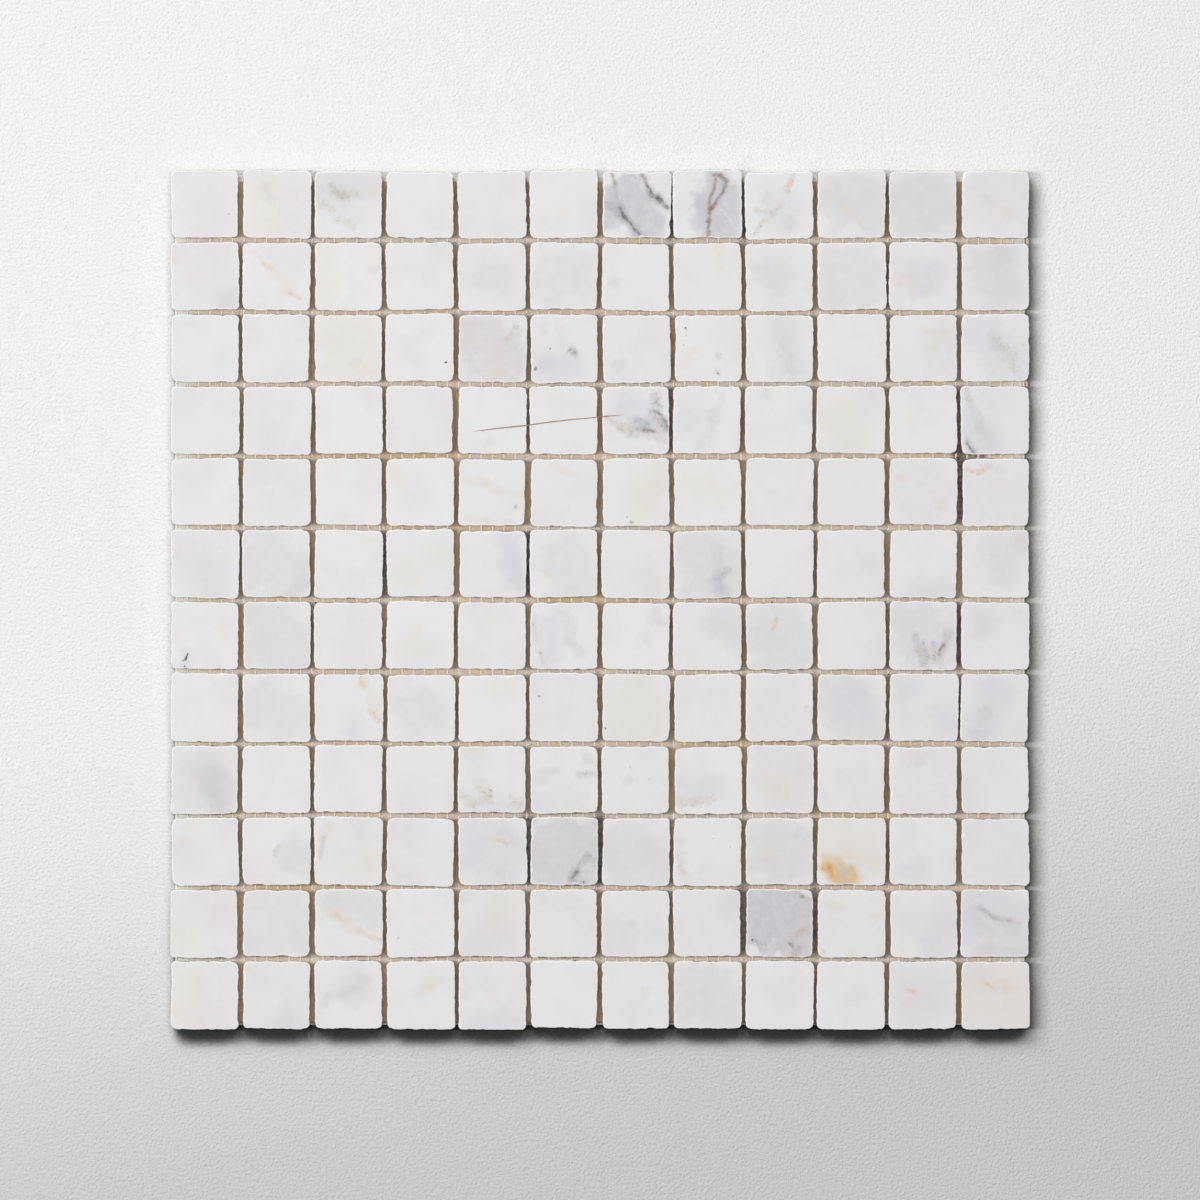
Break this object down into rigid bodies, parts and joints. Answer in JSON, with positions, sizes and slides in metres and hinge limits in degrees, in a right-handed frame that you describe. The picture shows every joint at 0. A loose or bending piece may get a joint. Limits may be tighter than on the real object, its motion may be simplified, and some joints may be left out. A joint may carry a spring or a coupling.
{
  "type": "mosaic tile sheet",
  "caption": "Flat square sheet of small tumbled marble tiles in a straight grid, bonded face up to an open fibre mesh, with open joints for grout.",
  "frame": {"origin": "under the middle of the sheet, on the underside of the mesh backing", "axes": "+X to the sheet's right, +Y to its top edge as seen from above, +Z out of the tile faces"},
  "size_m": [0.3037, 0.304, 0.0103],
  "materials": {
    "marble": "honed and tumbled, matte, with worn edges",
    "fibre_mesh": "coated glass-fibre yarn, matte",
    "adhesive": "dried adhesive film, uneven, satin"
  },
  "bodies": {
    "root": {"mesh_weft": "fibre_mesh", "mesh_warp": "fibre_mesh", "adhesive_film": "adhesive", "tile_row_01": "marble", "tile_row_02": "marble", "tile_row_03": "marble", "tile_row_04": "marble", "tile_row_05": "marble", "tile_row_06": "marble", "tile_row_07": "marble", "tile_row_08": "marble", "tile_row_09": "marble", "tile_row_10": "marble", "tile_row_11": "marble", "tile_row_12": "marble"}
  },
  "joints": []
}
